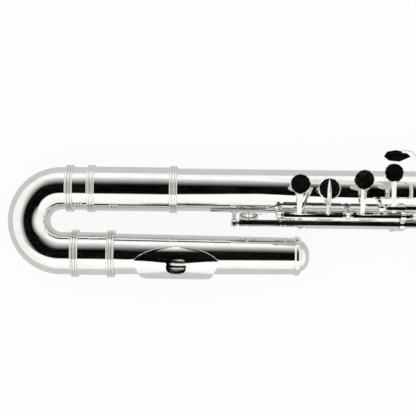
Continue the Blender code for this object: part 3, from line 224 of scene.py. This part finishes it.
def finish(name, colours, grain, roughness, metallic, bump):
    """Noise on Object coordinates, as fine along x, y and z as grain says, mixes two close colours,
    sets the roughness between two values, and lifts a bump of some strength and height in metres."""
    material = bpy.data.materials.new(name)
    material.use_nodes = True
    made = material.node_tree.nodes
    links = material.node_tree.links
    shader = made["Principled BSDF"]
    shader.inputs["Metallic"].default_value = metallic
    place = made.new("ShaderNodeTexCoord")
    stretch = made.new("ShaderNodeMapping")
    stretch.inputs["Scale"].default_value = grain
    noise = made.new("ShaderNodeTexNoise")
    noise.inputs["Scale"].default_value = 1.0
    noise.inputs["Detail"].default_value = 6.0
    colour = made.new("ShaderNodeValToRGB")
    for stop, position, shade in zip(colour.color_ramp.elements, (0.35, 0.65), colours):
        stop.position = position
        stop.color = shade
    rough = made.new("ShaderNodeMapRange")
    rough.inputs["From Min"].default_value = 0.3
    rough.inputs["From Max"].default_value = 0.7
    rough.inputs["To Min"].default_value = roughness[0]
    rough.inputs["To Max"].default_value = roughness[1]
    lift = made.new("ShaderNodeBump")
    lift.inputs["Strength"].default_value = bump[0]
    lift.inputs["Distance"].default_value = bump[1]
    links.new(place.outputs["Object"], stretch.inputs["Vector"])
    links.new(stretch.outputs["Vector"], noise.inputs["Vector"])
    links.new(noise.outputs["Fac"], colour.inputs["Fac"])
    links.new(noise.outputs["Fac"], rough.inputs["Value"])
    links.new(noise.outputs["Fac"], lift.inputs["Height"])
    links.new(colour.outputs["Color"], shader.inputs["Base Color"])
    links.new(rough.outputs["Result"], shader.inputs["Roughness"])
    links.new(lift.outputs["Normal"], shader.inputs["Normal"])
    return material


def sleeve(start, end, radius, bore):
    """The closed outline of a plain tube's wall, as (radius, x) points."""
    return [(radius, start), (radius, end), (bore, end), (bore, start)]


def beaded_ring(x, seat):
    """The closed outline of a ring: across its width u from 0 to 1 it rises from its seat by the
    root of |sin(beads pi u)|, and its inside lies a solder's depth under the seat."""
    u = np.linspace(0, 1, 20 * RING_BEADS + 1)
    rise = RING_EDGE_SHARE + (1 - RING_EDGE_SHARE) * np.sqrt(np.abs(np.sin(RING_BEADS * math.pi * u)))
    outside = np.column_stack((seat + (RING_RADIUS - seat) * rise, x + RING_WIDTH * (u - 0.5)))
    inside = [(seat - SOLDER_DEPTH, outside[-1, 1]), (seat - SOLDER_DEPTH, outside[0, 1])]
    return np.concatenate((outside, inside))


def skin_of(grid):
    """The points and quads of a grid of points that closes on itself in both directions."""
    rows, columns = grid.shape[:2]
    here = np.arange(rows)[:, None] * columns + np.arange(columns)[None, :]
    ahead = np.roll(here, -1, axis=0)
    quads = np.stack((here, np.roll(here, -1, axis=1), np.roll(ahead, -1, axis=1), ahead), axis=2)
    return grid.reshape(-1, 3), quads.reshape(-1, 4)


def turned(outline, y=0.0):
    """A closed outline is carried round the tube's axis: y = r sin t and z = r cos t."""
    radius, x = np.asarray(outline, dtype=float).T
    turn = np.arange(TURNED_SIDES)[:, None] * 2 * math.pi / TURNED_SIDES
    along = np.broadcast_to(x[None, :], (TURNED_SIDES, len(x)))
    grid = np.stack((along, radius * np.sin(turn) + y, radius * np.cos(turn)), axis=2)
    return skin_of(grid + FLUTE)


def outwards(shape):
    """The same points with faces that point out: the signed volume of a closed skin is positive."""
    points, quads = shape
    a, b, c, d = points[quads].transpose(1, 0, 2)
    volume = np.sum(a * np.cross(b, c)) + np.sum(a * np.cross(c, d))
    return points, quads if volume > 0 else quads[:, ::-1]


def stand_for(node_name, name, mesh, material):
    """The mesh rides on the node's body and is shown in its place."""
    mesh.materials.clear()
    mesh.materials.append(material)
    piece = bpy.data.objects.new(name, mesh)
    scene.collection.objects.link(piece)
    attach(piece, body_of(nodes[node_name])[0])
    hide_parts(node_name)


def make(node_name, name, shapes, material):
    """One mesh of closed skins, which point outwards and are smooth but for their creases, stands
    for the node."""
    points = []
    quads = []
    count = 0
    for shape in shapes:
        shape_points, shape_quads = outwards(shape)
        points.append(shape_points)
        quads.append(shape_quads + count)
        count += len(shape_points)
    mesh = bpy.data.meshes.new(name)
    mesh.from_pydata(np.concatenate(points).tolist(), [], np.concatenate(quads).tolist())
    mesh.shade_smooth()
    mesh.set_sharp_from_angle(angle=NEW_CREASE)
    stand_for(node_name, name, mesh, material)


silver = finish(
    "silver",
    colours=((0.86, 0.84, 0.80, 1), (0.93, 0.92, 0.90, 1)),
    grain=(60, 260, 260),
    roughness=(0.05, 0.11),
    metallic=1.0,
    bump=(0.05, 0.0001),
)
barrel_shapes = [
    turned(sleeve(BARREL_START, BARREL_END, BARREL_RADIUS, BARREL_BORE_RADIUS)),
    turned(beaded_ring(FIRST_BARREL_RING, BARREL_RADIUS)),
    turned(beaded_ring(SECOND_BARREL_RING, BARREL_RADIUS)),
]
make("barrel", "beaded_barrel", barrel_shapes, silver)

# Embouchure socket.
# A plain silver tube on the lower end of the bend, which the embouchure tube slides into. A
# beaded ring is soldered on at both of its ends.
HEAD_SPACING = 0.0415
SOCKET_START = 0.00905
SOCKET_END = 0.0340
SOCKET_RADIUS = 0.0136
SOCKET_BORE_RADIUS = 0.0131
FIRST_SOCKET_RING = 0.0090
SECOND_SOCKET_RING = 0.0318
socket_shapes = [
    turned(sleeve(SOCKET_START, SOCKET_END, SOCKET_RADIUS, SOCKET_BORE_RADIUS), -HEAD_SPACING),
    turned(beaded_ring(FIRST_SOCKET_RING, SOCKET_RADIUS), -HEAD_SPACING),
    turned(beaded_ring(SECOND_SOCKET_RING, SOCKET_RADIUS), -HEAD_SPACING),
]
make("embouchure_socket", "beaded_socket", socket_shapes, silver)

# Bend.
# A silver tube bent into a U round a mandrel, with a short straight part at both ends and a
# beaded ring at its upper one.
BEND_RADIUS = HEAD_SPACING / 2
BEND_STEPS = 97
BEND_SIDES = 72
BEND_OUTSIDE = 0.0135
BEND_BORE = 0.0130
BEND_UPPER_END = 0.00505
BEND_LOWER_END = 0.00875
BEND_RING = 0.0052


def bent_skin(radius):
    """Round the bend's path, a circle of points lies outwards by r cos t and upwards by r sin t."""
    half_turn = np.linspace(0, math.pi, BEND_STEPS)
    curve = np.column_stack((-np.sin(half_turn), np.cos(half_turn) - 1)) * BEND_RADIUS
    path = np.concatenate(([(BEND_UPPER_END, 0)], curve, [(BEND_LOWER_END, -HEAD_SPACING)]))
    heading = np.concatenate(([0], half_turn, [math.pi]))[:, None]
    turn = np.arange(BEND_SIDES)[None, :] * 2 * math.pi / BEND_SIDES
    x = path[:, :1] - np.sin(heading) * radius * np.cos(turn)
    y = path[:, 1:] + np.cos(heading) * radius * np.cos(turn)
    z = np.broadcast_to(radius * np.sin(turn), x.shape)
    return np.stack((x, y, z), axis=2) + FLUTE


bend_wall = skin_of(np.concatenate((bent_skin(BEND_OUTSIDE), bent_skin(BEND_BORE)[::-1])))
bend_shapes = [bend_wall, turned(beaded_ring(BEND_RING, BEND_OUTSIDE))]
make("head_bend", "smooth_bend", bend_shapes, silver)

# Head tenon and embouchure tube.
# Drawn silver tubes. The tenon slides in the barrel to tune the flute. The embouchure tube
# narrows a little from its socket to the crown.
WELD_DISTANCE = 1e-6
CARRIED_CREASE = math.radians(40)


def carry(node_name, material):
    """A copy of a node stands for it. Its loose triangles are joined at their corners, and an edge
    is smooth where the two faces beside it meet at less than the crease."""
    node = nodes[node_name]
    mesh = node.data.copy()
    triangles = bmesh.new()
    triangles.from_mesh(mesh)
    bmesh.ops.remove_doubles(triangles, verts=triangles.verts, dist=WELD_DISTANCE)
    for face in triangles.faces:
        face.smooth = True
    for edge in triangles.edges:
        edge.smooth = len(edge.link_faces) == 2 and edge.calc_face_angle() <= CARRIED_CREASE
    triangles.to_mesh(mesh)
    triangles.free()
    stand_for(node_name, node.name + "_finished", mesh, material)


carry("head_tenon", silver)
carry("embouchure_tube", silver)

# Lip plate and riser.
# The player's lip rests on the plate, a curved silver leaf with an oval hole. The riser is the
# short silver wall that lifts it off the tube, and is soldered to both.
carry("lip_plate", silver)
carry("embouchure_riser", silver)

# Crown.
# A domed silver cap with a turned bead. It closes the end of the embouchure tube, and turns.
carry("crown", silver)

# Stopper.
# A threaded brass rod with a plate on its front and a washer behind holds a cork against the
# tube. The brass is bright on its high places and brown in its hollows, and the cork is pitted.
gold = finish(
    "gold",
    colours=((0.76, 0.52, 0.17, 1), (0.88, 0.67, 0.27, 1)),
    grain=(200, 200, 200),
    roughness=(0.14, 0.30),
    metallic=1.0,
    bump=(0.08, 0.0001),
)
cork = finish(
    "cork",
    colours=((0.34, 0.20, 0.10, 1), (0.62, 0.42, 0.24, 1)),
    grain=(900, 900, 900),
    roughness=(0.75, 0.95),
    metallic=0.0,
    bump=(0.7, 0.0003),
)
carry("stopper_rod", gold)
carry("stopper_washer", gold)
carry("stopper_cork", cork)

# Body tube.
# A drawn silver tube whose tone holes are pulled up out of its wall. The posts of the upper,
# far and thumb rods are soldered straight on it.
carry("body_tube", silver)

# Ribs and bridge.
# Silver strips soldered along the body tube, which carry the posts of the main and lower rods,
# and a bridge that holds the rods where they meet.
for rib in ("main_rib", "lower_rib", "bridge_post"):
    carry(rib, silver)

# Foot joint.
# A silver tube that fits on the body's end, with a ring at its own end and a rib with the posts
# of the foot keys.
for foot_part in ("foot_tube", "foot_end_ring", "foot_rib"):
    carry(foot_part, silver)

# Hinge steels and needle springs.
# Steel rods go through the key tubes from post to post, and a thin steel needle in a post
# presses on its key. Drawn steel keeps fine lines along its length.
steel = finish(
    "steel",
    colours=((0.50, 0.50, 0.52, 1), (0.66, 0.66, 0.67, 1)),
    grain=(90, 900, 900),
    roughness=(0.16, 0.30),
    metallic=1.0,
    bump=(0.15, 0.0001),
)
for rod in ("c_sharp_steel", "g_sharp_steel", "right_hand_steel", "thumb_steel"):
    carry(rod, steel)
for spring in ("trill_spring", "c_sharp_spring", "a_spring"):
    carry(spring, steel)

# Left-hand keys.
# Each is a round silver cup with an arm on a hinge tube. The G sharp lever is a touch for the
# little finger, and moves its cup on the far side of the body.
for key in ("c_sharp_key", "a_key", "b_flat_key", "g_key", "g_sharp_lever", "g_sharp_key"):
    carry(key, silver)

# Thumb keys.
# A silver cup and a silver lever, low on the player's side of the body tube, on a rod of their
# own.
for key in ("thumb_b_key", "thumb_b_flat_lever"):
    carry(key, silver)

# Trill keys.
# Two small silver cups near the upper end of the body tube. Long hinge tubes lead from them to
# their touches beside the right-hand keys.
for key in ("d_sharp_trill_key", "d_trill_key"):
    carry(key, silver)

# Right-hand keys.
# Four large silver cups on arms, whose hinge tubes turn on the main rod.
for key in ("f_sharp_key", "f_key", "e_key", "d_key"):
    carry(key, silver)

# Foot keys.
# Three large silver cups with touches for the little finger. Between the two low ones a roller
# on each lets the finger slide across.
for key in ("e_flat_key", "low_c_sharp_key", "low_c_key"):
    carry(key, silver)
for roller in ("low_c_sharp_roller", "low_c_roller"):
    carry(roller, silver)

# Pads.
# Felt discs under a thin yellowish skin, one glued in each cup. The skin is slightly wavy and
# stained.
skin = finish(
    "skin",
    colours=((0.78, 0.68, 0.48, 1), (0.90, 0.85, 0.72, 1)),
    grain=(350, 350, 350),
    roughness=(0.45, 0.70),
    metallic=0.0,
    bump=(0.3, 0.0002),
)
for pad in sorted(name for name in nodes if name.endswith("_pad")):
    carry(pad, skin)
